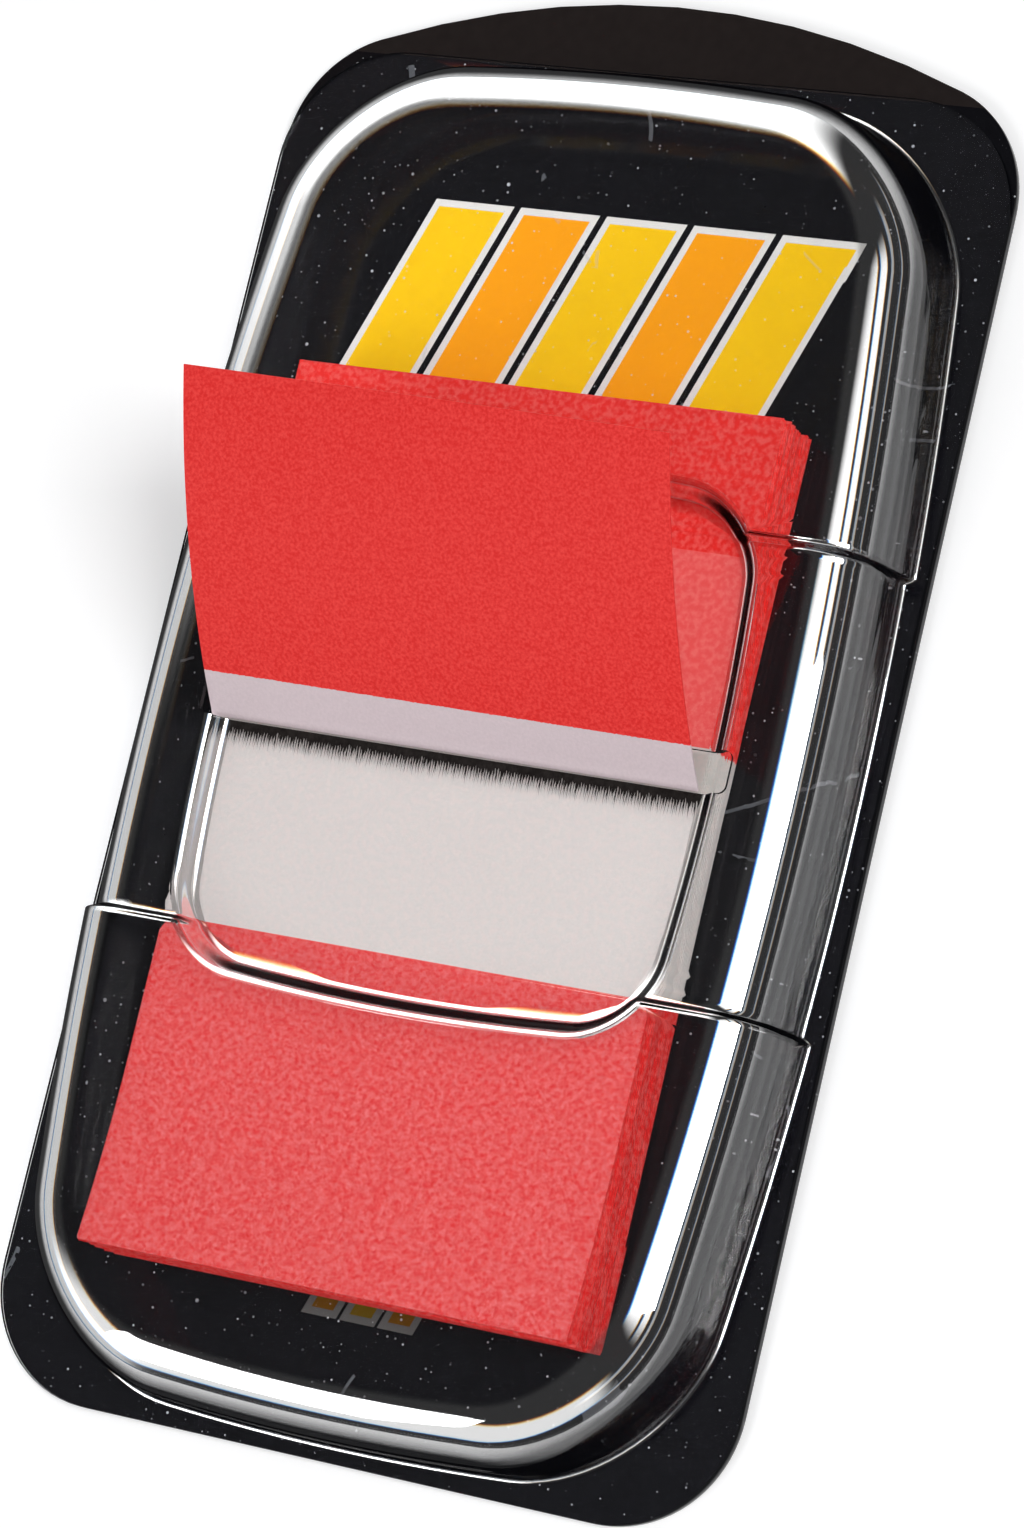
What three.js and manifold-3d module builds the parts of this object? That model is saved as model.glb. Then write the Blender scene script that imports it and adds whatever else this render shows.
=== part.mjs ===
// Sticky index tabs in a thermoformed pop-up dispenser.
// Units are millimetres, +Z is up and the dispenser lies on the back of its card.
// The origin is the middle of the card's back face.
import * as THREE from 'three';
import * as BufferGeometryUtils from 'three/addons/utils/BufferGeometryUtils.js';
import Module from 'manifold-3d';

const wasm = await Module();
wasm.setup();

// Backing card
const cardWidth = 38.5;
const cardLength = 71.2;
const cardThickness = 0.45;
const cardCorner = 6;
const headerTilt = 21;
const headerMargin = 3.6;

// Clear cover: one formed sheet
const sheet = 0.3;
const bubbleHeight = 4.9;
const sideFlange = 0.5;
const endFlange = 0.8;
const sideDraft = 0.8;
const endDraft = 0.15;
const sideBow = 2.2;
const endBow = 1.1;
const bubbleCorner = 6.2;
const shoulderRadius = 2.4;
const footRadius = 0.35;

// Grip band: the lower, narrower middle of the cover
const bandLength = 21.6;
const bandStep = 0.45;

// Finger recess and slot in the grip band
const recessWidth = 26.6;
const recessLength = 27;
const recessDraft = 1.1;
const recessCorner = 4;
const recessBow = 0.7;
const slotGap = 2;
const slotCorner = 0.4;

// Tabs
const tabWidth = 25.4;
const tabLength = 43.2;
const tabThickness = 0.1;
const padThickness = 3.37;
const padLeaves = 8;
const leafStagger = 0.16;
const padOffsetX = -0.8;
const padOffsetY = -4.75;
const curlLength = 9;
const curlRise = 0.7;
const curlSteps = 6;

// Pulled tab
const bendRadius = 1;
const slotAngle = 45;
const tipAngle = 23;

// Clearances
const slotEndClearance = 0.95;
const tabUnderEdge = 0.08;
const floorClearance = 0.13;

// Levels and places that follow from the sizes above
const flangeBottom = cardThickness;
const flangeTop = flangeBottom + sheet;
const bubbleTop = flangeTop + bubbleHeight;
const padTop = cardThickness + padThickness;
const recessFloor = padTop + tabThickness + floorClearance + sheet;
const coverLength = cardLength - headerMargin;
const slotY = -headerMargin / 2;
const slotWidth = tabWidth + 2 * slotEndClearance;
const padCentreY = slotY + padOffsetY;
const padBottomEnd = padCentreY - tabLength / 2;

// Outline with arcs at its corners, its sides and ends bowed outwards by parabolas
function bowedOutline(halfWidth, halfLength, bowX, bowY, corner) {
  const w = halfWidth - bowX;
  const l = halfLength - bowY;
  const arcSteps = 7;
  const sideSteps = 8;
  const endSteps = 5;
  const points = [];
  for (let quarter = 0; quarter < 4; quarter++) {
    const signX = quarter === 0 || quarter === 3 ? 1 : -1;
    const signY = quarter < 2 ? 1 : -1;
    const centre = new THREE.Vector2(signX * (w - corner), signY * (l - corner));
    for (let i = 0; i <= arcSteps; i++) {
      const angle = (quarter + i / arcSteps) * Math.PI / 2;
      points.push(new THREE.Vector2(Math.cos(angle), Math.sin(angle)).multiplyScalar(corner).add(centre));
    }
    const from = points[points.length - 1];
    const alongEnd = quarter % 2 === 0;
    const to = alongEnd ? new THREE.Vector2(-from.x, from.y) : new THREE.Vector2(from.x, -from.y);
    const steps = alongEnd ? endSteps : sideSteps;
    for (let i = 1; i < steps; i++) {
      points.push(from.clone().lerp(to, i / steps));
    }
  }
  return points.map(({ x, y }) => new THREE.Vector2(
    x * (1 + bowX / w * (1 - (y / l) ** 2)),
    y * (1 + bowY / l * (1 - (x / w) ** 2)),
  ));
}

// Closed solid through outlines of equal point count, each { points, z }, from the lowest up
function loft(sections) {
  const count = sections[0].points.length;
  const positions = [];
  for (const { points, z } of sections) {
    for (const point of points) {
      positions.push(point.x, point.y, z);
    }
  }
  const index = [];
  for (let level = 0; level < sections.length - 1; level++) {
    for (let i = 0; i < count; i++) {
      const a = level * count + i;
      const b = level * count + (i + 1) % count;
      index.push(a, b, b + count, a, b + count, a + count);
    }
  }
  const last = (sections.length - 1) * count;
  for (const [a, b, c] of THREE.ShapeUtils.triangulateShape(sections[0].points, [])) {
    index.push(a, c, b);
  }
  for (const [a, b, c] of THREE.ShapeUtils.triangulateShape(sections.at(-1).points, [])) {
    index.push(last + a, last + b, last + c);
  }
  const geometry = new THREE.BufferGeometry();
  geometry.setAttribute('position', new THREE.Float32BufferAttribute(positions, 3));
  geometry.setIndex(index);
  return geometry;
}

// Prism of a shape standing on a level
function prism(shape, bottom, height) {
  const geometry = new THREE.ExtrudeGeometry(shape, { depth: height, bevelEnabled: false, curveSegments: 10 });
  return geometry.translate(0, 0, bottom);
}

// Geometry with bare positions, its equal points merged
function welded(geometry) {
  const bare = geometry.clone();
  bare.deleteAttribute('normal');
  bare.deleteAttribute('uv');
  return BufferGeometryUtils.mergeVertices(bare, 1e-5);
}

function toSolid(geometry) {
  const bare = welded(geometry);
  return new wasm.Manifold(new wasm.Mesh({
    numProp: 3,
    vertProperties: new Float32Array(bare.attributes.position.array),
    triVerts: new Uint32Array(bare.index.array),
  }));
}

function toGeometry(solid) {
  const mesh = solid.getMesh();
  const geometry = new THREE.BufferGeometry();
  geometry.setAttribute('position', new THREE.BufferAttribute(new Float32Array(mesh.vertProperties), 3));
  geometry.setIndex(new THREE.BufferAttribute(new Uint32Array(mesh.triVerts), 1));
  return geometry;
}

function piece(name, geometry, material) {
  const mesh = new THREE.Mesh(welded(geometry), new THREE.MeshStandardMaterial(material));
  mesh.name = name;
  return mesh;
}

// Sheet outline: rounded corners, and a top edge that bows up and leaves them at a tilt in degrees
function sheetShape(bottom, top, tilt) {
  const inner = cardWidth / 2 - cardCorner;
  const turn = THREE.MathUtils.degToRad(tilt);
  const edgeX = inner + cardCorner * Math.sin(turn);
  const bow = edgeX * Math.tan(turn) / 2;
  const edgeY = top - bow;
  const centreY = edgeY - cardCorner * Math.cos(turn);
  const shape = new THREE.Shape();
  shape.moveTo(-inner, bottom);
  shape.lineTo(inner, bottom);
  shape.absarc(inner, bottom + cardCorner, cardCorner, -Math.PI / 2, 0, false);
  shape.absarc(inner, centreY, cardCorner, 0, Math.PI / 2 - turn, false);
  shape.quadraticCurveTo(0, edgeY + 2 * bow, -edgeX, edgeY);
  shape.absarc(-inner, centreY, cardCorner, Math.PI / 2 + turn, Math.PI, false);
  shape.absarc(-inner, bottom + cardCorner, cardCorner, Math.PI, 1.5 * Math.PI, false);
  return shape;
}

// Raised bubble, its surface moved in by inset: a filleted foot, drafted walls and a rounded shoulder
function bubble(inset, below) {
  const halfWidth = cardWidth / 2 - sideFlange - inset;
  const halfLength = coverLength / 2 - endFlange - inset;
  const top = bubbleTop - inset;
  const radius = shoulderRadius - Math.min(inset, shoulderRadius / 2);
  const wallTop = top - radius;
  const outlineAt = (rise, extra) => bowedOutline(
    halfWidth - sideDraft * rise + extra,
    halfLength - endDraft * rise + extra,
    sideBow,
    endBow,
    bubbleCorner - inset + extra,
  );
  const sections = [];
  if (below > 0) {
    sections.push({ points: outlineAt(0, 0), z: flangeTop - below });
    sections.push({ points: outlineAt(0, 0), z: flangeTop });
  } else {
    const footSteps = 3;
    sections.push({ points: outlineAt(0, footRadius), z: flangeBottom });
    for (let i = 0; i <= footSteps; i++) {
      const turn = i / footSteps * Math.PI / 2;
      const extra = footRadius * (1 - Math.sin(turn));
      sections.push({ points: outlineAt(0, extra), z: flangeTop + footRadius * (1 - Math.cos(turn)) });
    }
  }
  const shoulderSteps = 6;
  for (let i = 0; i <= shoulderSteps; i++) {
    const turn = i / shoulderSteps * Math.PI / 2;
    const extra = -radius * (1 - Math.cos(turn));
    sections.push({ points: outlineAt(1, extra), z: wallTop + radius * Math.sin(turn) });
  }
  return toSolid(loft(sections).translate(0, slotY, 0));
}

// Bubble whose middle steps in, so that the grip band lies lower and narrower than the ends
function steppedBubble(inset, below) {
  const band = bandLength + 2 * inset;
  const gap = new THREE.BoxGeometry(2 * cardWidth, band, 4 * bubbleTop).translate(0, slotY, 0);
  const ends = bubble(inset, below).subtract(toSolid(gap));
  return bubble(inset + bandStep, below).add(ends);
}

// Finger recess, widened by grow all round and below
function recess(grow) {
  const outlineAt = (rise) => bowedOutline(
    recessWidth / 2 + grow + recessDraft * (rise - 1),
    recessLength / 2 + grow + recessDraft * (rise - 1),
    recessBow,
    recessBow,
    recessCorner + grow + recessDraft * (rise - 1),
  );
  const floor = recessFloor - grow;
  const rim = bubbleTop - bandStep - grow;
  const steps = 6;
  const sections = [];
  for (let i = 0; i <= steps; i++) {
    const rise = i / steps;
    sections.push({ points: outlineAt(rise), z: floor + (rim - floor) * rise ** 2 * (3 - 2 * rise) });
  }
  sections.push({ points: outlineAt(1), z: bubbleTop + sheet });
  return toSolid(loft(sections).translate(0, slotY, 0));
}

// Slot with rounded corners
function slot() {
  const x = slotWidth / 2 - slotCorner;
  const y = slotGap / 2 - slotCorner;
  const shape = new THREE.Shape();
  shape.absarc(x, -y, slotCorner, -Math.PI / 2, 0, false);
  shape.absarc(x, y, slotCorner, 0, Math.PI / 2, false);
  shape.absarc(-x, y, slotCorner, Math.PI / 2, Math.PI, false);
  shape.absarc(-x, -y, slotCorner, Math.PI, 1.5 * Math.PI, false);
  return toSolid(prism(shape, padTop, bubbleTop).translate(0, slotY, 0));
}

function backingCard() {
  return prism(sheetShape(-cardLength / 2, cardLength / 2, headerTilt), 0, cardThickness);
}

function clearCover() {
  const flange = sheetShape(-cardLength / 2, -cardLength / 2 + coverLength, 0);
  const outside = toSolid(prism(flange, flangeBottom, sheet)).add(steppedBubble(0, 0)).subtract(recess(0));
  const hollow = steppedBubble(sheet, 2 * sheet).subtract(recess(sheet));
  return toGeometry(outside.subtract(hollow).subtract(slot()));
}

// Rise of the curled bottom end at a distance from it, straight between stations
function curlAt(distance) {
  const step = curlLength / curlSteps;
  const station = Math.floor(distance / step);
  const riseAt = (n) => curlRise * Math.max(0, 1 - n / curlSteps) ** 2;
  return THREE.MathUtils.lerp(riseAt(station), riseAt(station + 1), distance / step - station);
}

// Solid of a side profile drawn in Y and Z, as wide as a tab
function tabProfile(shape, centreX) {
  const geometry = prism(shape, centreX - tabWidth / 2, tabWidth);
  return geometry.applyMatrix4(new THREE.Matrix4().makeBasis(
    new THREE.Vector3(0, 1, 0),
    new THREE.Vector3(0, 0, 1),
    new THREE.Vector3(1, 0, 0),
  ));
}

// Pad of alternating tabs: one solid whose leaves lie a little out of line and curl at the bottom end
function tabPad() {
  const leaf = padThickness / padLeaves;
  const inner = Array.from({ length: curlSteps }, (_, k) => curlLength * (k + 1) / curlSteps);
  let pad = null;
  for (let i = 0; i < padLeaves; i++) {
    const stagger = i === padLeaves - 1 ? 0 : leafStagger;
    const shiftX = stagger * Math.sin(2.4 * i);
    const shiftY = stagger * Math.cos(1.7 * i);
    const stations = [shiftY, ...inner, tabLength + shiftY];
    const point = (d, level) => new THREE.Vector2(
      padBottomEnd + d,
      cardThickness + leaf * level + curlAt(d) * level / padLeaves,
    );
    const lower = stations.map((d) => point(d, i));
    const upper = stations.map((d) => point(d, i + 1)).reverse();
    const slab = toSolid(tabProfile(new THREE.Shape([...lower, ...upper]), padOffsetX + shiftX));
    pad = pad ? pad.add(slab) : slab;
  }
  return toGeometry(pad);
}

// Pulled tab: it lies on the pad, bends up through the slot and leans over the upper half
function pulledTab() {
  const edgeY = slotY - slotGap / 2;
  const turnAtEdge = Math.acos(1 - (floorClearance - tabUnderEdge) / bendRadius);
  const bendStart = edgeY - bendRadius * Math.sin(turnAtEdge);
  const lower = [];
  const upper = [];
  for (let k = 0; k <= curlSteps; k++) {
    const distance = curlLength * k / curlSteps;
    const z = padTop + curlAt(distance);
    lower.push(new THREE.Vector2(padBottomEnd + distance, z));
    upper.push(new THREE.Vector2(padBottomEnd + distance, z + tabThickness));
  }
  const centre = new THREE.Vector2(bendStart, padTop + tabThickness / 2);
  const lay = (angle) => {
    const across = new THREE.Vector2(-Math.sin(angle), Math.cos(angle)).multiplyScalar(tabThickness / 2);
    lower.push(centre.clone().sub(across));
    upper.push(centre.clone().add(across));
  };
  const walk = (fromAngle, toAngle, length, steps) => {
    for (let i = 0; i < steps; i++) {
      const chord = THREE.MathUtils.lerp(fromAngle, toAngle, (i + 0.5) / steps);
      centre.add(new THREE.Vector2(Math.cos(chord), Math.sin(chord)).multiplyScalar(length / steps));
      lay(THREE.MathUtils.lerp(fromAngle, toAngle, (i + 1) / steps));
    }
  };
  const steep = THREE.MathUtils.degToRad(slotAngle);
  const shallow = THREE.MathUtils.degToRad(tipAngle);
  const bend = bendRadius * steep;
  lay(0);
  walk(0, steep, bend, 6);
  walk(steep, shallow, tabLength - (bendStart - padBottomEnd) - bend, 10);
  return tabProfile(new THREE.Shape([...lower, ...upper.reverse()]), padOffsetX);
}

const tabs = new THREE.Group();
tabs.add(piece('backing_card', backingCard(), { color: 0x141416, roughness: 0.45, metalness: 0 }));
tabs.add(piece('clear_cover', clearCover(), {
  color: 0xdfe3e6,
  roughness: 0.12,
  metalness: 0,
  transparent: true,
  opacity: 0.35,
}));
tabs.add(piece('tab_pad', tabPad(), { color: 0xd84038, roughness: 0.55, metalness: 0 }));
tabs.add(piece('pulled_tab', pulledTab(), { color: 0xeb3a32, roughness: 0.5, metalness: 0 }));

export default tabs;
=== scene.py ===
import math

import bpy
from mathutils import Matrix, Vector
from mathutils.geometry import delaunay_2d_cdt


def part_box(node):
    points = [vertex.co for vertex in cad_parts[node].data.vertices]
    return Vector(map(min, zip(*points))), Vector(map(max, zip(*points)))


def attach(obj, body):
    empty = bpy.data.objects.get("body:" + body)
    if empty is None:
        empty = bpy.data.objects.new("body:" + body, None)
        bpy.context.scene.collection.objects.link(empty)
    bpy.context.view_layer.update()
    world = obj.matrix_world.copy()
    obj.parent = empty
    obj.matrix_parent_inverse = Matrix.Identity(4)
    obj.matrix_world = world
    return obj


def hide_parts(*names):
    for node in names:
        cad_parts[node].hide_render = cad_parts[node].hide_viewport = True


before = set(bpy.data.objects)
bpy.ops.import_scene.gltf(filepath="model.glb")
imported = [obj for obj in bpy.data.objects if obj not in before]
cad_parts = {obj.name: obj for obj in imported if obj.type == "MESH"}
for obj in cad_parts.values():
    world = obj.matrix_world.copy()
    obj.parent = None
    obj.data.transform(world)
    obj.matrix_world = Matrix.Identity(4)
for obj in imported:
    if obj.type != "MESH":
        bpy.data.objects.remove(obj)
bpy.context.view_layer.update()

mm = 0.001
bpy.ops.object.select_all(action="DESELECT")

# Camera
# The view of the photograph: from above, to the right and a little below the dispenser.
bpy.ops.object.camera_add(
    location=(104.51 * mm, -39.47 * mm, 213.15 * mm),
    rotation=(math.radians(14.971), math.radians(23.235), math.radians(14.336)),
)
camera = bpy.context.object
camera.name = "photo_camera"
camera.data.lens = 120.65
camera.data.sensor_width = 36
camera.data.clip_start = 0.01
bpy.context.scene.camera = camera
bpy.context.scene.view_settings.view_transform = "Standard"

# Floor, world and lamps
# A pale sweep that shows white, with soft lamps over the left, the right and the near end.
def new_material(name):
    material = bpy.data.materials.new(name)
    material.use_nodes = True
    material.node_tree.nodes.clear()
    return material, material.node_tree.nodes, material.node_tree.links


def math_node(nodes, links, operation, first, second=None, third=None):
    node = nodes.new("ShaderNodeMath")
    node.operation = operation
    for socket, value in zip(node.inputs, (first, second, third)):
        if isinstance(value, (int, float)):
            socket.default_value = value
        elif value is not None:
            links.new(value, socket)
    return node.outputs[0]


# Rise from 0 at start to top at finish
def step_node(nodes, links, value, start, finish, top=1.0, kind="SMOOTHSTEP"):
    node = nodes.new("ShaderNodeMapRange")
    node.interpolation_type = kind
    links.new(value, node.inputs["Value"])
    node.inputs["From Min"].default_value = start
    node.inputs["From Max"].default_value = finish
    node.inputs["To Max"].default_value = top
    return node.outputs[0]


def show_surface(nodes, links, shader):
    out = nodes.new("ShaderNodeOutputMaterial")
    links.new(shader.outputs[0], out.inputs["Surface"])


floor_drop = 0.02 * mm
bpy.ops.mesh.primitive_plane_add(size=6, location=(0, 0, -floor_drop))
floor = bpy.context.object
floor.name = "floor"
floor.data.transform(Matrix.Translation(floor.location))
floor.location = (0, 0, 0)
floor_finish, nodes, links = new_material("pale_sweep")
paint = nodes.new("ShaderNodeBsdfDiffuse")
paint.inputs["Color"].default_value = (0.86, 0.86, 0.86, 1)
lift = nodes.new("ShaderNodeEmission")
path = nodes.new("ShaderNodeLightPath")
seen = math_node(nodes, links, "MAXIMUM", path.outputs["Is Camera Ray"],
                 path.outputs["Is Transmission Ray"])
seen = math_node(nodes, links, "MAXIMUM", seen, path.outputs["Is Glossy Ray"])
links.new(math_node(nodes, links, "MULTIPLY", seen, 0.28), lift.inputs["Strength"])
both = nodes.new("ShaderNodeAddShader")
links.new(paint.outputs[0], both.inputs[0])
links.new(lift.outputs[0], both.inputs[1])
show_surface(nodes, links, both)
floor.data.materials.append(floor_finish)

world = bpy.data.worlds.new("studio")
bpy.context.scene.world = world
world.use_nodes = True
nodes = world.node_tree.nodes
links = world.node_tree.links
nodes.clear()
place = nodes.new("ShaderNodeTexCoord")
split = nodes.new("ShaderNodeSeparateXYZ")
links.new(place.outputs["Generated"], split.inputs[0])
east, north, up = split.outputs


def soft_band(value, low, high, edge):
    rise = step_node(nodes, links, value, low - edge, low + edge)
    fall = step_node(nodes, links, value, high - edge, high + edge)
    return math_node(nodes, links, "SUBTRACT", rise, fall)


# Soft light panels, which only gloss and clear sheet show: the side that each stands on, how
# near to it a ray has to point, its lowest and highest sine of elevation, its edge, its strength
light_panels = (
    ((-0.6, 0.8), 0.84, -0.02, 0.79, 0.03, 2.7),
    ((-1, 0.0), 0.62, 0.03, 0.4, 0.02, 0.9),
    ((-0.3, -0.95), 0.55, 0.24, 0.66, 0.03, 1.3),
    ((0.98, 0.2), 0.84, 0.81, 0.96, 0.01, 2.1),
    ((0.98, 0.2), 0.84, 0.66, 0.77, 0.01, 1.8),
    ((1, 0.0), 0.5, 0.5, 0.57, 0.01, 0.6),
    ((1, 0.1), 0.5, 0.21, 0.25, 0.01, 0.6),
)
panel_side_edge = 0.11
room_glow = 0.05
flat = math_node(nodes, links, "SQRT", math_node(nodes, links, "SUBTRACT", 1.0001,
                 math_node(nodes, links, "MULTIPLY", up, up)))
channels = []
# The red and blue of a panel are out of line by a little, for the thin colour fringes
for shift in (-0.01, 0, 0.012):
    total = None
    for toward, spread, low, high, edge, strength in light_panels:
        height = math_node(nodes, links, "ADD", up, shift if toward[0] < 0 else -0.4 * shift)
        east_part = math_node(nodes, links, "MULTIPLY", east, toward[0])
        along = math_node(nodes, links, "MULTIPLY_ADD", north, toward[1], east_part)
        along = math_node(nodes, links, "DIVIDE", along, flat)
        panel = math_node(nodes, links, "MULTIPLY", soft_band(height, low, high, edge),
                          soft_band(along, spread, 2, panel_side_edge))
        total = math_node(nodes, links, "MULTIPLY_ADD", panel, strength, total if total else room_glow)
    channels.append(total)
panels = nodes.new("ShaderNodeCombineColor")
for socket, channel in zip(panels.inputs, channels):
    links.new(channel, socket)
mirrored = nodes.new("ShaderNodeBackground")
links.new(panels.outputs[0], mirrored.inputs["Color"])
fill = nodes.new("ShaderNodeBackground")
fill.inputs["Color"].default_value = (0.97, 0.98, 1, 1)
fill.inputs["Strength"].default_value = 0.35
path = nodes.new("ShaderNodeLightPath")
lit = nodes.new("ShaderNodeMixShader")
spread = math_node(nodes, links, "GREATER_THAN", path.outputs["Diffuse Depth"], 0.5)
sharp = math_node(nodes, links, "MAXIMUM", path.outputs["Is Glossy Ray"],
                  path.outputs["Is Transmission Ray"])
sharp = math_node(nodes, links, "MULTIPLY", sharp, math_node(nodes, links, "SUBTRACT", 1, spread))
links.new(sharp, lit.inputs["Fac"])
links.new(fill.outputs[0], lit.inputs[1])
links.new(mirrored.outputs[0], lit.inputs[2])
out = nodes.new("ShaderNodeOutputWorld")
links.new(lit.outputs[0], out.inputs["Surface"])

for name, place, size, power in (
    ("near_lamp", (-0.33, -0.42, 0.38), 0.3, 1.3),
    ("right_lamp", (0.42, 0.02, 0.48), 0.24, 2.2),
):
    bpy.ops.object.light_add(type="AREA", location=place)
    lamp = bpy.context.object
    lamp.name = name
    lamp.data.shape = "SQUARE"
    lamp.data.size = size
    lamp.data.energy = power
    lamp.rotation_euler = (-Vector(place)).to_track_quat("-Z", "Y").to_euler()

# Backing card
# A die-cut board, coated black and printed on its front, that carries everything.
# The cover's flange is glued to its face, and a matt margin stands out beyond the far end.
def copy_of_node(node, name):
    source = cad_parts[node]
    piece = bpy.data.objects.new(name, source.data.copy())
    bpy.context.scene.collection.objects.link(piece)
    piece.data.materials.clear()
    bpy.ops.object.select_all(action="DESELECT")
    bpy.context.view_layer.objects.active = piece
    piece.select_set(True)
    bpy.ops.object.mode_set(mode="EDIT")
    bpy.ops.mesh.select_all(action="SELECT")
    bpy.ops.mesh.remove_doubles(threshold=1e-6)
    bpy.ops.mesh.dissolve_limited(angle_limit=math.radians(1))
    bpy.ops.object.mode_set(mode="OBJECT")
    return piece


def noise_node(nodes, links, coords, scale, detail=2.0, roughness=0.5):
    node = nodes.new("ShaderNodeTexNoise")
    node.inputs["Scale"].default_value = scale
    node.inputs["Detail"].default_value = detail
    node.inputs["Roughness"].default_value = roughness
    links.new(coords, node.inputs["Vector"])
    return node.outputs["Fac"]


def bump_node(nodes, links, height, strength, distance):
    node = nodes.new("ShaderNodeBump")
    node.inputs["Strength"].default_value = strength
    node.inputs["Distance"].default_value = distance
    links.new(height, node.inputs["Height"])
    return node.outputs[0]


card = copy_of_node("backing_card", "card_board")
rim = card.modifiers.new("rim", "BEVEL")
rim.width = 0.06 * mm
rim.segments = 2
rim.limit_method = "ANGLE"
rim.angle_limit = math.radians(50)
bpy.ops.object.modifier_apply(modifier="rim")
cover_low, cover_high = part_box("clear_cover")
bpy.ops.object.mode_set(mode="EDIT")
bpy.ops.mesh.select_all(action="SELECT")
bpy.ops.mesh.bisect(plane_co=(0, cover_high[1], 0), plane_no=(0, 1, 0))
bpy.ops.object.mode_set(mode="OBJECT")
bpy.ops.object.shade_smooth_by_angle(angle=math.radians(40))
even = card.modifiers.new("even", "WEIGHTED_NORMAL")
even.keep_sharp = True
bpy.ops.object.modifier_apply(modifier="even")

card_low, card_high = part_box("backing_card")
card_black, nodes, links = new_material("coated_black_board")
coords = nodes.new("ShaderNodeTexCoord").outputs["Object"]
split = nodes.new("ShaderNodeSeparateXYZ")
links.new(coords, split.inputs[0])
x, y, z = split.outputs


# A row of printed bars on a slant, once with their pale edges and once without
def bar_masks(centre_x, centre_y, half_width, half_height, pitch, slant):
    bar_share = 0.46
    pale_edge = 0.35 * mm
    down = math_node(nodes, links, "SUBTRACT", y, centre_y)
    across = math_node(nodes, links, "SUBTRACT", x, centre_x)
    lean = math_node(nodes, links, "MULTIPLY_ADD", down, -slant, across)
    cell = math_node(nodes, links, "ADD", math_node(nodes, links, "DIVIDE", lean, pitch), 0.5)
    middle = math_node(nodes, links, "ABSOLUTE", math_node(nodes, links, "SUBTRACT",
                       math_node(nodes, links, "FRACT", cell), 0.5))
    masks = []
    off_row = math_node(nodes, links, "ABSOLUTE", down)
    off_middle = math_node(nodes, links, "ABSOLUTE", lean)
    for edge in (0.0, pale_edge):
        inside = math_node(nodes, links, "LESS_THAN", middle, bar_share - edge / pitch)
        high = math_node(nodes, links, "LESS_THAN", off_row, half_height - edge)
        wide = math_node(nodes, links, "LESS_THAN", off_middle, half_width)
        mask = math_node(nodes, links, "MULTIPLY", inside, high)
        masks.append(math_node(nodes, links, "MULTIPLY", mask, wide))
    even = math_node(nodes, links, "PINGPONG", math_node(nodes, links, "FLOOR", cell), 1)
    return masks, even


def blend_colour(factor, first, second):
    node = nodes.new("ShaderNodeMix")
    node.data_type = "RGBA"
    for socket, value in ((node.inputs[0], factor), (node.inputs[6], first), (node.inputs[7], second)):
        if isinstance(value, (int, float)):
            socket.default_value = value
        elif isinstance(value, tuple):
            socket.default_value = (*value, 1)
        else:
            links.new(value, socket)
    return node.outputs[2]


front = math_node(nodes, links, "GREATER_THAN", z, card_high[2] - 0.01 * mm)
mottle = noise_node(nodes, links, coords, 900, 6)
colour = blend_colour(mottle, (0.003, 0.003, 0.004), (0.007, 0.007, 0.009))
yellow = (0.93, 0.56, 0.008)
orange = (0.96, 0.36, 0.008)
pale_ink = (0.75, 0.74, 0.7)
bar_slant = 0.35
# Middle of a row, its half width and half height, the pitch of its bars, and how much painted shade
# darkens it
for centre_x, centre_y, half_width, half_height, pitch, painted_shade in (
    (-0.5 * mm, 20.2 * mm, 11.5 * mm, 4.6 * mm, 4.6 * mm, 0),
    # The small row below the pad's curled end is darkened by painted shade from the pad
    (0.4 * mm, -26.8 * mm, 3 * mm, 2.3 * mm, 2 * mm, 0.9),
):
    (outer, inner), alternate = bar_masks(centre_x, centre_y, half_width, half_height, pitch, bar_slant)
    outer = math_node(nodes, links, "MULTIPLY", outer, front)
    inner = math_node(nodes, links, "MULTIPLY", inner, front)
    ink = blend_colour(painted_shade, blend_colour(alternate, yellow, orange), (0.02, 0.012, 0.002))
    colour = blend_colour(outer, colour, blend_colour(painted_shade, pale_ink, (0.02, 0.02, 0.02)))
    colour = blend_colour(inner, colour, ink)
# Dust in three sizes: how many cells to the metre, and how far the largest speck fills its cell
for scale, size in ((460, 0.05), (1100, 0.085), (2300, 0.13)):
    specks = nodes.new("ShaderNodeTexVoronoi")
    specks.voronoi_dimensions = "2D"
    specks.inputs["Scale"].default_value = scale
    links.new(coords, specks.inputs["Vector"])
    tone = nodes.new("ShaderNodeSeparateColor")
    links.new(specks.outputs["Color"], tone.inputs[0])
    reach = math_node(nodes, links, "MULTIPLY", math_node(nodes, links, "POWER", tone.outputs[0], 7), size)
    fleck = math_node(nodes, links, "LESS_THAN", specks.outputs["Distance"], reach)
    fleck = math_node(nodes, links, "MULTIPLY", fleck, tone.outputs[1])
    colour = blend_colour(math_node(nodes, links, "MULTIPLY", fleck, 0.9), colour, (0.55, 0.56, 0.58))
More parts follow.
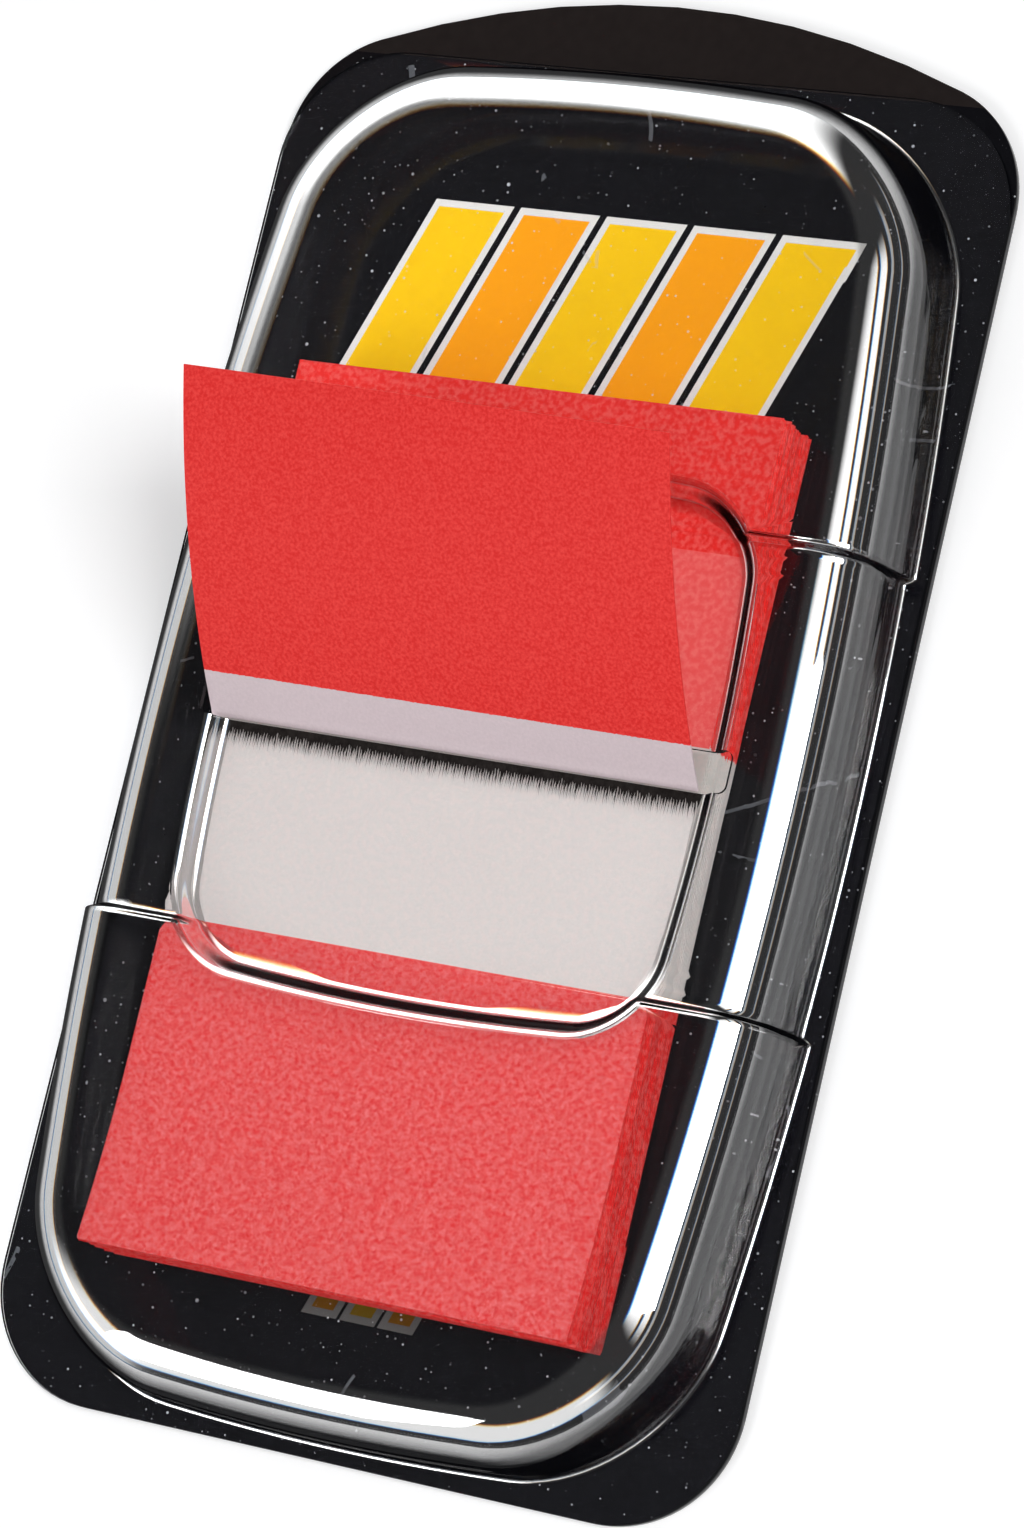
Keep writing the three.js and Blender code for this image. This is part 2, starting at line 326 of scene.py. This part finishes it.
# Faint scratches that come and go
for scale, wide in ((55, 0.0022), (38, 0.0016)):
    sway = noise_node(nodes, links, coords, scale, 0.5)
    line = math_node(nodes, links, "ABSOLUTE", math_node(nodes, links, "SUBTRACT", sway, 0.5))
    line = math_node(nodes, links, "LESS_THAN", line, wide)
    worn = math_node(nodes, links, "GREATER_THAN", noise_node(nodes, links, coords, 210, 5), 0.57)
    line = math_node(nodes, links, "MULTIPLY", line, worn)
    colour = blend_colour(math_node(nodes, links, "MULTIPLY", line, 0.22), colour, (0.4, 0.42, 0.45))
body = nodes.new("ShaderNodeBsdfPrincipled")
links.new(colour, body.inputs["Base Color"])
gloss = math_node(nodes, links, "MULTIPLY_ADD", mottle, 0.08, 0.05)
links.new(gloss, body.inputs["Roughness"])
body.inputs["Specular IOR Level"].default_value = 0.25
links.new(bump_node(nodes, links, mottle, 0.15, 0.02 * mm), body.inputs["Normal"])
show_surface(nodes, links, body)
card.data.materials.append(card_black)
card_matt, nodes, links = new_material("bare_black_board")
coords = nodes.new("ShaderNodeTexCoord").outputs["Object"]
fibres = noise_node(nodes, links, coords, 1800, 6)
body = nodes.new("ShaderNodeBsdfPrincipled")
board = blend_colour(fibres, (0.0115, 0.0085, 0.008), (0.019, 0.0145, 0.0135))
links.new(board, body.inputs["Base Color"])
body.inputs["Roughness"].default_value = 0.85
body.inputs["Specular IOR Level"].default_value = 0.06
links.new(bump_node(nodes, links, fibres, 0.3, 0.03 * mm), body.inputs["Normal"])
show_surface(nodes, links, body)
card.data.materials.append(card_matt)
for face in card.data.polygons:
    face.material_index = 1 if face.center.y > cover_high[1] else 0
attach(card, "root")
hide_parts("backing_card")

# Tab pad
# Thin film tabs stacked with their red tips at alternate ends, lying loose on the card.
# Their bottom ends have curled up a little, and the far corner is out of line.
pad_low, pad_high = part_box("tab_pad")
tab_low, tab_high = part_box("pulled_tab")
tab_width = tab_high[0] - tab_low[0]
tab_length = 43.2 * mm
film = 0.1 * mm
pad_top = tab_low[2]
pad_bottom_end = tab_low[1]
tip_length = 15.6 * mm
curl_length = 9 * mm
curl_rise = 0.7 * mm
leaf_count = 33
leaf_pitch = (pad_top - pad_low[2]) / leaf_count
leaf_stagger = 0.11 * mm
leaf_turn = 0.0035
loose_leaves = 8
loose_shift = 0.05 * mm
loose_turn = 0.004
curl_bands = 8


def curl_at(distance):
    return curl_rise * max(0, 1 - distance / curl_length) ** 2


leaves = []
for index in range(leaf_count):
    level = index / leaf_count
    upper = max(0, index - leaf_count + loose_leaves) / loose_leaves
    last = index == leaf_count - 1
    shift_x = 0 if last else leaf_stagger * math.sin(12.9 * index) - loose_shift * upper
    shift_y = 0 if last else leaf_stagger * math.sin(7.3 * index + 1)
    yaw = 0 if last else leaf_turn * math.sin(5.1 * index) - loose_turn * upper
    bpy.ops.mesh.primitive_cube_add(size=1, location=(0, 0, 0))
    leaf = bpy.context.object
    bpy.ops.object.mode_set(mode="EDIT")
    bpy.ops.transform.resize(value=(tab_width, tab_length, 0.8 * leaf_pitch))
    for step in range(1, curl_bands + 1):
        bpy.ops.mesh.select_all(action="SELECT")
        bpy.ops.mesh.bisect(
            plane_co=(0, -tab_length / 2 + curl_length * step / curl_bands, 0),
            plane_no=(0, 1, 0),
        )
    bpy.ops.object.mode_set(mode="OBJECT")
    centre = Vector(((tab_low[0] + tab_high[0]) / 2, pad_bottom_end + tab_length / 2, 0))
    moved = Matrix.Translation(centre + Vector((shift_x, shift_y, 0)))
    leaf.data.transform(moved @ Matrix.Rotation(yaw, 4, "Z"))
    for vertex in leaf.data.vertices:
        lift = curl_at(vertex.co.y - pad_bottom_end) * level
        vertex.co.z += pad_low[2] + leaf_pitch * (index + 0.5) + lift
    leaves.append(leaf)
bpy.ops.object.select_all(action="DESELECT")
for leaf in leaves:
    leaf.select_set(True)
bpy.context.view_layer.objects.active = leaves[0]
bpy.ops.object.join()
pad = leaves[0]
pad.name = "tab_leaves"

pad_film, nodes, links = new_material("stacked_film")
coords = nodes.new("ShaderNodeTexCoord").outputs["Object"]
split = nodes.new("ShaderNodeSeparateXYZ")
links.new(coords, split.inputs[0])
x, y, z = split.outputs
grainy = noise_node(nodes, links, coords, 3400, 3)
uneven = nodes.new("ShaderNodeTexNoise")
uneven.noise_dimensions = "1D"
uneven.inputs["Scale"].default_value = 9000
links.new(z, uneven.inputs["W"])
ragged = math_node(nodes, links, "MULTIPLY_ADD", uneven.outputs["Fac"], 0.5 * mm, y)
near_tip = math_node(nodes, links, "LESS_THAN", ragged, pad_bottom_end + tip_length + 0.45 * mm)
far_from = pad_bottom_end + tab_length - tip_length + 0.25 * mm
far_tip = math_node(nodes, links, "GREATER_THAN", ragged, far_from)
colour = blend_colour(near_tip, (0.56, 0.53, 0.5), (0.63, 0.02, 0.019))
colour = blend_colour(far_tip, colour, (0.74, 0.026, 0.022))
on_top = math_node(nodes, links, "GREATER_THAN", z, pad_top - 1.2 * leaf_pitch)
veil = math_node(nodes, links, "MULTIPLY", on_top, far_tip)
under_film = math_node(nodes, links, "LESS_THAN", y, 8.4 * mm)
veil = math_node(nodes, links, "MULTIPLY", math_node(nodes, links, "MULTIPLY", veil, under_film), 0.1)
colour = blend_colour(veil, colour, (0.9, 0.7, 0.68))
peel = step_node(nodes, links, grainy, 0.42, 0.62, 0.1, "LINEAR")
colour = blend_colour(peel, colour, (1, 0.62, 0.56))
body = nodes.new("ShaderNodeBsdfPrincipled")
links.new(colour, body.inputs["Base Color"])
body.inputs["Roughness"].default_value = 0.5
body.inputs["Specular IOR Level"].default_value = 0.1
show_surface(nodes, links, body)
pad.data.materials.append(pad_film)
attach(pad, "root")
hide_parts("tab_pad")

# Pulled tab
# The top tab, half out: its clear root lies on the pad, it bends up through the slot
# and its red tip leans over the far half of the cover.
slot_gap = 2 * mm
slot_y = (cover_low[1] + cover_high[1]) / 2
bend_start = slot_y - slot_gap / 2 - 0.31 * mm
bend_radius = 1 * mm
slot_angle = math.radians(45)
tip_angle = math.radians(23)
rows = 110
columns = 16
curve_steps = 60
tip_sag = 0.2 * mm
tip_shift_x = -0.88 * mm
tip_shift_y = (-0.03 * mm, -0.65 * mm)
tip_droop = -0.86 * mm
bpy.ops.mesh.primitive_grid_add(x_subdivisions=columns, y_subdivisions=rows, size=1, calc_uvs=True)
tab = bpy.context.object
tab.name = "top_tab"


# Place and heading of the tab's middle line at a length from its root
def tab_path(length):
    flat = bend_start - pad_bottom_end
    if length <= flat:
        distance = length
        return pad_bottom_end + distance, pad_top + film / 2 + curl_at(distance), 0.0
    along = bend_start
    height = pad_top + film / 2
    bend = bend_radius * slot_angle
    rest = length - flat
    heading = 0.0
    for step in range(curve_steps):
        at = rest * (step + 0.5) / curve_steps
        if at < bend:
            heading = slot_angle * at / bend
        else:
            heading = slot_angle + (tip_angle - slot_angle) * (at - bend) / (tab_length - flat - bend)
        along += math.cos(heading) * rest / curve_steps
        height += math.sin(heading) * rest / curve_steps
    return along, height, heading


row_places = {}
for vertex in tab.data.vertices:
    share = round((vertex.co.y + 0.5) * rows) / rows
    if share not in row_places:
        row_places[share] = tab_path(share * tab_length)
    along, height, heading = row_places[share]
    side = vertex.co.x * 2
    free = max(0, share - 0.66) / 0.34
    sag = tip_sag * free * (1 - side ** 2)
    under_cover = bend_start - pad_bottom_end
    out_of_slot = max(0, (share * tab_length - under_cover) / (tab_length - under_cover))
    right = (side + 1) / 2
    shift_y = tip_shift_y[0] + (tip_shift_y[1] - tip_shift_y[0]) * right
    vertex.co = Vector((
        (tab_low[0] + tab_high[0]) / 2 + side * tab_width / 2 + tip_shift_x * out_of_slot,
        along + sag * math.sin(heading) + shift_y * out_of_slot,
        height - sag * math.cos(heading) + tip_droop * (1 - right) * out_of_slot,
    ))
wall = tab.modifiers.new("film", "SOLIDIFY")
wall.thickness = 0.09 * mm
wall.offset = 0
bpy.ops.object.modifier_apply(modifier="film")
bpy.ops.object.shade_smooth_by_angle(angle=math.radians(40))

tab_film, nodes, links = new_material("red_tipped_film")
coords = nodes.new("ShaderNodeTexCoord")
split = nodes.new("ShaderNodeSeparateXYZ")
links.new(coords.outputs["UV"], split.inputs[0])
along = split.outputs["Y"]
grainy = noise_node(nodes, links, coords.outputs["Object"], 6500, 2, 0.55)
print_edge = math_node(nodes, links, "MULTIPLY_ADD", grainy, 0.003, along)
red_from = (tab_length - 15.1 * mm) / tab_length
red = math_node(nodes, links, "GREATER_THAN", print_edge, red_from)
peel = step_node(nodes, links, grainy, 0.36, 0.66, 1, "LINEAR")
ink = blend_colour(peel, (0.74, 0.022, 0.02), (0.85, 0.055, 0.049))
# The clear root's pink tint is painted reflected light from the red film around it
colour = blend_colour(red, (0.74, 0.62, 0.65), ink)
body = nodes.new("ShaderNodeBsdfPrincipled")
links.new(colour, body.inputs["Base Color"])
body.inputs["Roughness"].default_value = 0.5
body.inputs["Specular IOR Level"].default_value = 0.1
free_from = (bend_start - pad_bottom_end + 0.5 * mm) / tab_length
free_film = math_node(nodes, links, "GREATER_THAN", along, free_from)
stuck = math_node(nodes, links, "MULTIPLY_ADD", peel, 0.05, 0.005)
opaque = math_node(nodes, links, "MULTIPLY_ADD", free_film, 0.86, stuck)
links.new(math_node(nodes, links, "MAXIMUM", red, opaque), body.inputs["Alpha"])
links.new(bump_node(nodes, links, grainy, 0.5, 0.04 * mm), body.inputs["Normal"])
show_surface(nodes, links, body)
tab.data.materials.append(tab_film)
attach(tab, "root")
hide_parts("pulled_tab")

# Clear cover
# One clear sheet formed over a mould: a flange glued to the card, a bubble with a rounded
# shoulder, a grip band that lies lower and narrower, a finger recess and the slot.
sheet = 0.3 * mm
flange_top = cover_low[2] + sheet
bubble_top = cover_high[2]
half_width = cover_high[0] - 0.5 * mm
half_length = (cover_high[1] - cover_low[1]) / 2 - 0.8 * mm
side_lean = math.radians(12)
end_lean = math.radians(3.5)
shoulder_radius = 2.9 * mm
foot_radius = 0.22 * mm
band_length = 21.6 * mm
band_step = 0.45 * mm
ledge_run = 0.36 * mm
recess_floor = pad_top + film + 0.13 * mm + sheet
recess_half = (13.3 * mm, 13.5 * mm)
recess_draft = 1.1 * mm
recess_bow = 0.7 * mm
recess_corner = 4 * mm
slot_half_width = tab_width / 2 + 0.95 * mm
slot_corner = 0.4 * mm
side_bow = 2.2 * mm
end_bow = 1.1 * mm
bubble_corner = 7.6 * mm
flange_corner = 6 * mm
ripple = 0.005 * mm
ripples_per_mm = 8


# Outline with round corners whose sides and ends bow outwards
def bowed_outline(half_x, half_y, bow_x, bow_y, corner, arc=20, side=56, end=28):
    w = half_x - bow_x
    h = half_y - bow_y
    points = []
    for quarter in range(4):
        sign_x = 1 if quarter in (0, 3) else -1
        sign_y = 1 if quarter < 2 else -1
        for step in range(arc + 1):
            angle = (quarter + step / arc) * math.pi / 2
            points.append((sign_x * (w - corner) + corner * math.cos(angle),
                           sign_y * (h - corner) + corner * math.sin(angle)))
        start = points[-1]
        finish = (-start[0], start[1]) if quarter % 2 == 0 else (start[0], -start[1])
        count = end if quarter % 2 == 0 else side
        for step in range(1, count):
            t = step / count
            points.append((start[0] + (finish[0] - start[0]) * t, start[1] + (finish[1] - start[1]) * t))
    return [(px * (1 + bow_x / w * (1 - (py / h) ** 2)), py * (1 + bow_y / h * (1 - (px / w) ** 2)))
            for px, py in points]


# How far the wall has come in at a height, and how much of that is the shoulder's turn
def wall_inset(height, lean):
    turn_height = bubble_top - shoulder_radius * (1 - math.sin(lean))
    slope = math.tan(lean) * (min(height, turn_height) - flange_top)
    if height <= turn_height:
        return slope, 0.0
    turn = math.asin(max(-1.0, min(1.0, 1 - (bubble_top - height) / shoulder_radius)))
    return slope, shoulder_radius * (math.cos(lean) - math.cos(turn))


def bubble_outline(height, extra=0.0):
    extra += ripple * math.sin((height - flange_top) / mm * ripples_per_mm)
    side_slope, side_turn = wall_inset(height, side_lean)
    end_slope, end_turn = wall_inset(height, end_lean)
    return bowed_outline(half_width - side_slope - side_turn + extra,
                         half_length - end_slope - end_turn + extra,
                         side_bow, end_bow, bubble_corner - side_turn + extra)


def recess_outline(rise, arc=16, side=20, end=20):
    less = recess_draft * (1 - rise)
    return bowed_outline(recess_half[0] - less, recess_half[1] - less, recess_bow, recess_bow,
                         recess_corner - less, arc, side, end)


# Each ring is (points, height, kind), and the plan of all of them is filled with triangles
rings = []
foot_steps = 5
wall_steps = 12
shoulder_steps = 20
recess_steps = 20
ring_gap = 0.0001 * mm
for step in range(foot_steps + 1):
    turn = math.pi / 2 * step / foot_steps
    extra = foot_radius * (1 - math.sin(turn))
    height = flange_top + foot_radius * (1 - math.cos(turn))
    rings.append((bubble_outline(flange_top, extra + ring_gap * (foot_steps - step)), height, "bubble"))
wall_top = bubble_top - shoulder_radius * (1 - math.sin(end_lean))
for step in range(1, wall_steps + 1):
    height = flange_top + foot_radius + (wall_top - flange_top - foot_radius) * step / wall_steps
    rings.append((bubble_outline(height), height, "bubble"))
for step in range(1, shoulder_steps + 1):
    turn = end_lean + (math.pi / 2 - end_lean) * step / shoulder_steps
    height = bubble_top - shoulder_radius * (1 - math.sin(turn))
    rings.append((bubble_outline(height), height, "bubble"))
corner_x = cover_high[0] - flange_corner
corner_y = (cover_high[1] - cover_low[1]) / 2 - flange_corner
flange = []
for quarter in range(4):
    sign_x = 1 if quarter in (0, 3) else -1
    sign_y = 1 if quarter < 2 else -1
    for step in range(17):
        angle = (quarter + step / 16) * math.pi / 2
        flange.append((sign_x * corner_x + flange_corner * math.cos(angle),
                       sign_y * corner_y + flange_corner * math.sin(angle)))
rings.append((flange, flange_top, "flange"))


# How far a point has come up the recess wall, from 0 on the floor to 1 on the rim
def recess_rise(px, py):
    low, high = 0.0, 1.0
    for _ in range(30):
        middle = (low + high) / 2
        less = recess_draft * (1 - middle)
        w = recess_half[0] - less - recess_bow
        h = recess_half[1] - less - recess_bow
        corner = recess_corner - less
        qx, qy = px, py
        for _ in range(4):
            qx = px / (1 + recess_bow / w * (1 - min(1, (qy / h) ** 2)))
            qy = py / (1 + recess_bow / h * (1 - min(1, (qx / w) ** 2)))
        dx = abs(qx) - (w - corner)
        dy = abs(qy) - (h - corner)
        outside = math.hypot(max(dx, 0), max(dy, 0)) + min(max(dx, dy), 0) - corner
        if outside > 0:
            low = middle
        else:
            high = middle
    return (low + high) / 2


# Share of the recess wall's height at a share of its width: two gentle lips and a steep middle
def lip_height(rise):
    lip = 0.16
    even_share = 0.4
    middle = min(1, max(0, (rise - lip) / (1 - 2 * lip)))
    return even_share * rise + (1 - even_share) * middle ** 2 * (3 - 2 * middle)


slot_line = []
for sign_x, sign_y, quarter in ((1, 1, 0), (-1, 1, 1), (-1, -1, 2), (1, -1, 3)):
    for step in range(7):
        angle = (quarter + step / 6) * math.pi / 2
        slot_line.append((sign_x * (slot_half_width - slot_corner) + slot_corner * math.cos(angle),
                          sign_y * (slot_gap / 2 - slot_corner) + slot_corner * math.sin(angle)))

for step in range(recess_steps + 1):
    rise = step / recess_steps
    height = recess_floor + (bubble_top - recess_floor) * lip_height(rise)
    rings.append((recess_outline(rise), height, "recess"))
plan_points = []
plan_edges = []
edge_rings = []
point_heights = []
for number, (points, height, kind) in enumerate(rings):
    first = len(plan_points)
    for index, point in enumerate(points):
        plan_points.append(Vector(point) / mm)
        point_heights.append((height, kind))
        plan_edges.append((first + index, first + (index + 1) % len(points)))
        edge_rings.append(number)
first = len(plan_points)
for index, point in enumerate(slot_line):
    plan_points.append(Vector(point) / mm)
    rise = recess_rise(*point)
    height = recess_floor + (bubble_top - recess_floor) * lip_height(rise)
    point_heights.append((height, "recess"))
    plan_edges.append((first + index, first + (index + 1) % len(slot_line)))
    edge_rings.append(-1)
ledge_steps = 8
for end in (-1, 1):
    for step in range(ledge_steps + 1):
        offset = (band_length / 2 + ledge_run * (step / ledge_steps - 0.5)) * end
        reach = half_width + 0.3 * mm
        first = len(plan_points)
        for px in (-reach, reach):
            plan_points.append(Vector((px, offset)) / mm)
            point_heights.append((flange_top, "flange"))
        plan_edges.append((first, first + 1))
        edge_rings.append(-1)

found, edges, faces, from_points, from_edges, _ = delaunay_2d_cdt(plan_points, plan_edges, [], 0, 1e-6)
heights = []
for origins in from_points:
    heights.append(point_heights[origins[0]] if origins else None)
for (a, b), origins in zip(edges, from_edges):
    for origin in origins:
        ring = edge_rings[origin]
        if ring < 0:
            continue
        for end in (a, b):
            if heights[end] is None:
                heights[end] = rings[ring][1:]


def in_slot(px, py):
    return abs(px) < slot_half_width / mm and abs(py) < slot_gap / 2 / mm


# The grip band lies lower and its walls stand further in, with a soft ledge at each end
centre_y = (cover_low[1] + cover_high[1]) / 2
verts = []
for (px, py), value in zip(found, heights):
    height, kind = value if value else (recess_floor, "recess")
    px *= mm
    py *= mm
    inside = min(1, max(0, (band_length / 2 - abs(py)) / ledge_run + 0.5))
    inside = inside ** 2 * (3 - 2 * inside)
    if kind == "bubble":
        px -= math.copysign(band_step, px) * inside
        height -= band_step * inside * (height - flange_top) / (bubble_top - flange_top)
    elif kind == "recess":
        height -= band_step * inside * (height - recess_floor) / (bubble_top - recess_floor)
    verts.append((px, py + centre_y, height))
kept = []
for face in faces:
    middle_x = sum(found[i][0] for i in face) / 3
    middle_y = sum(found[i][1] for i in face) / 3
    if not in_slot(middle_x, middle_y):
        kept.append(face)
shell = bpy.data.meshes.new("formed_cover")
shell.from_pydata(verts, [], kept)
cover = bpy.data.objects.new("formed_cover", shell)
bpy.context.scene.collection.objects.link(cover)
bpy.ops.object.select_all(action="DESELECT")
bpy.context.view_layer.objects.active = cover
cover.select_set(True)
bpy.ops.object.mode_set(mode="EDIT")
bpy.ops.mesh.select_all(action="SELECT")
bpy.ops.mesh.normals_make_consistent(inside=False)
bpy.ops.object.mode_set(mode="OBJECT")
if cover.data.polygons[0].normal.z < 0:
    cover.data.flip_normals()
wall = cover.modifiers.new("wall", "SOLIDIFY")
wall.thickness = sheet
wall.offset = -1
bpy.ops.object.modifier_apply(modifier="wall")
bpy.ops.object.shade_smooth_by_angle(angle=math.radians(50))
even = cover.modifiers.new("even", "WEIGHTED_NORMAL")
even.keep_sharp = True
bpy.ops.object.modifier_apply(modifier="even")

clear, nodes, links = new_material("clear_formed_sheet")
coords = nodes.new("ShaderNodeTexCoord").outputs["Object"]
split = nodes.new("ShaderNodeSeparateXYZ")
links.new(nodes.new("ShaderNodeTexCoord").outputs["Normal"], split.inputs[0])
level_share = math_node(nodes, links, "ABSOLUTE", split.outputs[2])
body = nodes.new("ShaderNodeBsdfPrincipled")
# Steep walls seen edge on are painted dark: the dark tint and the near-black finish there stand in for the
# dark lines that refraction and inner reflection give at them
turned = nodes.new("ShaderNodeLayerWeight")
turned.inputs["Blend"].default_value = 0.5
painted_dark_walls = step_node(nodes, links, turned.outputs["Facing"], 0.38, 0.64)
steep = step_node(nodes, links, level_share, 0.92, 0.74)
painted_dark_walls = math_node(nodes, links, "MULTIPLY", painted_dark_walls, steep)
links.new(blend_colour(painted_dark_walls, (0.985, 0.99, 1), (0.02, 0.02, 0.024)), body.inputs["Base Color"])
body.inputs["Roughness"].default_value = 0.025
body.inputs["IOR"].default_value = 1.49
body.inputs["Transmission Weight"].default_value = 1
waver = bump_node(nodes, links, noise_node(nodes, links, coords, 160), 0.06, 0.1 * mm)
links.new(waver, body.inputs["Normal"])
passing = nodes.new("ShaderNodeBsdfTransparent")
passing.inputs["Color"].default_value = (0.93, 0.93, 0.94, 1)
path = nodes.new("ShaderNodeLightPath")
# Near-black finish that carries the painted shade on the steep walls
dark = nodes.new("ShaderNodeBsdfPrincipled")
dark.inputs["Base Color"].default_value = (0.003, 0.003, 0.004, 1)
dark.inputs["Roughness"].default_value = 0.3
dark.inputs["Specular IOR Level"].default_value = 0
# The rounded edges shine more than the flats and the walls
tilted = step_node(nodes, links, level_share, 0.995, 0.975)
sloping = step_node(nodes, links, level_share, 0.4, 0.75)
rounded = math_node(nodes, links, "MULTIPLY", tilted, sloping)
inner_side = nodes.new("ShaderNodeNewGeometry").outputs["Backfacing"]
bright = math_node(nodes, links, "MULTIPLY", rounded,
                   math_node(nodes, links, "SUBTRACT", 1, inner_side))
mirror = nodes.new("ShaderNodeBsdfGlossy")
mirror.inputs["Color"].default_value = (1, 1, 1, 1)
mirror.inputs["Roughness"].default_value = 0.03
links.new(waver, mirror.inputs["Normal"])
shining = nodes.new("ShaderNodeMixShader")
links.new(math_node(nodes, links, "MULTIPLY", bright, 0.5), shining.inputs["Fac"])
links.new(body.outputs[0], shining.inputs[1])
links.new(mirror.outputs[0], shining.inputs[2])
# Painted shade: mix in the near-black finish on the steep walls seen edge on
edge_on = nodes.new("ShaderNodeMixShader")
links.new(math_node(nodes, links, "MULTIPLY", painted_dark_walls, 0.95), edge_on.inputs["Fac"])
links.new(shining.outputs[0], edge_on.inputs[1])
links.new(dark.outputs[0], edge_on.inputs[2])
mix = nodes.new("ShaderNodeMixShader")
links.new(path.outputs["Is Shadow Ray"], mix.inputs["Fac"])
links.new(edge_on.outputs[0], mix.inputs[1])
links.new(passing.outputs[0], mix.inputs[2])
show_surface(nodes, links, mix)
cover.data.materials.append(clear)
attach(cover, "root")
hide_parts("clear_cover")

# Slot fringe
# A dark band along the near lip of the slot: partly dust and fibres that the tabs' gum has left, partly
# painted shade under the lip.
# It lies flat on the recess floor.
root_line = slot_y - slot_gap / 2 - 0.02 * mm
fibre_lift = 0.004 * mm
fringe_verts = []
fringe_faces = []


# One thin fibre: a low four-sided spike from its root on the lip to its tip on the floor
def add_fibre(x, reach, lean, breadth):
    first = len(fringe_verts)
    level = recess_floor + fibre_lift
    fringe_verts.extend([
        (x - breadth / 2, root_line, level),
        (x + breadth / 2, root_line, level),
        (x, root_line, level + 0.03 * mm),
        (x + lean, root_line - reach, level + 0.006 * mm),
    ])
    a, b, c, d = range(first, first + 4)
    fringe_faces.extend([(a, b, c), (b, a, d), (c, b, d), (a, c, d)])


# Caked dust that also carries the painted shade, and single fibres: how many, their shortest and longest
# reach, their breadth
for count, shortest, longest, breadth in (
    (420, 0.4 * mm, 0.68 * mm, 0.42 * mm),
    (1100, 0.55 * mm, 1.3 * mm, 0.09 * mm),
):
    for index in range(count):
        share = (index * 0.61803) % 1
        fine = (index * 0.75488) % 1
        tall = (index * 0.56984) % 1
        add_fibre(
            (tab_low[0] + 0.1 * mm) + (tab_width + 0.2 * mm) * share,
            shortest + (longest - shortest) * tall ** 2,
            (fine - 0.35) * 0.3 * mm,
            breadth * (0.6 + 0.5 * fine),
        )
dust_and_shade_mesh = bpy.data.meshes.new("slot_fringe")
dust_and_shade_mesh.from_pydata(fringe_verts, [], fringe_faces)
fringe = bpy.data.objects.new("slot_fringe", dust_and_shade_mesh)
bpy.context.scene.collection.objects.link(fringe)
# Near-black lint colour: dust together with painted shade under the lip
lint_and_shade, nodes, links = new_material("lint_and_painted_shade")
body = nodes.new("ShaderNodeBsdfPrincipled")
coords = nodes.new("ShaderNodeTexCoord").outputs["Object"]
patchy = noise_node(nodes, links, coords, 4000)
links.new(blend_colour(patchy, (0.004, 0.003, 0.003), (0.035, 0.03, 0.028)), body.inputs["Base Color"])
body.inputs["Roughness"].default_value = 0.8
body.inputs["Specular IOR Level"].default_value = 0.02
show_surface(nodes, links, body)
fringe.data.materials.append(lint_and_shade)
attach(fringe, "root")
